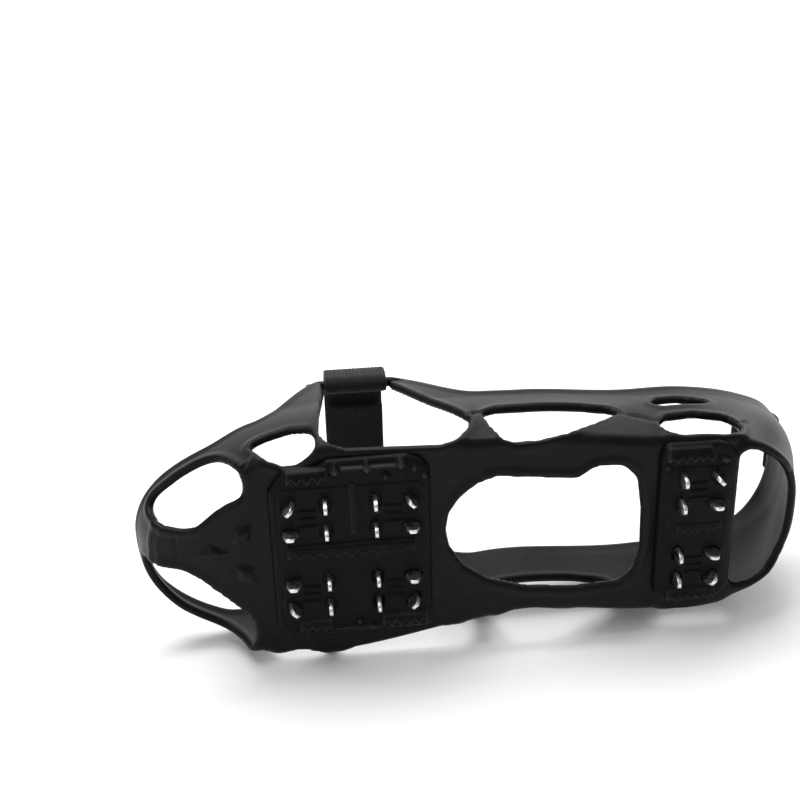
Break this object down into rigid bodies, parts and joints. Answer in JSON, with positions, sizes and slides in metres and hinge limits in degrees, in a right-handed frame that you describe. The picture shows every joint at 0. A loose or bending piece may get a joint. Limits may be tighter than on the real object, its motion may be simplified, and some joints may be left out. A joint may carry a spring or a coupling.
{
  "type": "shoe ice cleats",
  "caption": "Rubber overshoe harness with tread plates, steel teeth, an instep strap with hook and loop closure and a heel pull tab, to grip ice and snow.",
  "frame": {"origin": "centre of the bounding box's bottom face, on the floor the cleat lies on", "axes": "the cleat lies on its inner side: -X is the toe and +X the heel, -Y is the tread side with the teeth, +Y is where the boot goes in, +Z is the outer side of a left foot and points up"},
  "size_m": [0.3476, 0.1312, 0.119],
  "materials": {
    "rubber": "matte moulded elastomer",
    "tread": "matte hard rubber",
    "steel": "bright stamped steel",
    "webbing": "ribbed woven webbing",
    "hook_tape": "hook tape",
    "loop_tape": "napped loop tape"
  },
  "bodies": {
    "harness": {"toe_cap": "rubber", "forefoot_web": "rubber", "outer_front_side": "rubber", "inner_front_side": "rubber", "outer_rear_side": "rubber", "inner_rear_side": "rubber", "heel_web": "rubber", "heel_band": "rubber", "forefoot_tread_plate": "tread", "heel_tread_plate": "tread", "forefoot_front_outer_teeth": "steel", "forefoot_front_inner_teeth": "steel", "forefoot_rear_outer_teeth": "steel", "forefoot_rear_inner_teeth": "steel", "heel_outer_teeth": "steel", "heel_inner_teeth": "steel", "outer_strap_bar": "rubber", "inner_strap_bar": "rubber"},
    "outer_strap": {"outer_strap": "webbing", "hook_tape": "hook_tape"},
    "inner_strap": {"inner_strap": "webbing", "loop_tape": "loop_tape"},
    "heel_tab": {"heel_tab": "rubber"}
  },
  "joints": [
    {"name": "outer_strap_open", "type": "hinge", "parent": "harness", "child": "outer_strap", "pos_m": [-0.06008, 0.0264, 0.11282], "axis": [1, 0, 0], "range_deg": [0, 120]},
    {"name": "inner_strap_open", "type": "hinge", "parent": "harness", "child": "inner_strap", "pos_m": [-0.06008, 0.0264, 0.00864], "axis": [-1, 0, 0], "range_deg": [0, 40]},
    {"name": "heel_tab_flex", "type": "hinge", "parent": "harness", "child": "heel_tab", "pos_m": [0.1632, 0.0187, 0.06214], "axis": [0, 0, -1], "range_deg": [-15, 35], "stiffness_Nm_per_rad": 0.02}
  ],
  "couplings": [
    {"joint": "inner_strap_open", "follows": "outer_strap_open", "ratio": 0.33333}
  ]
}
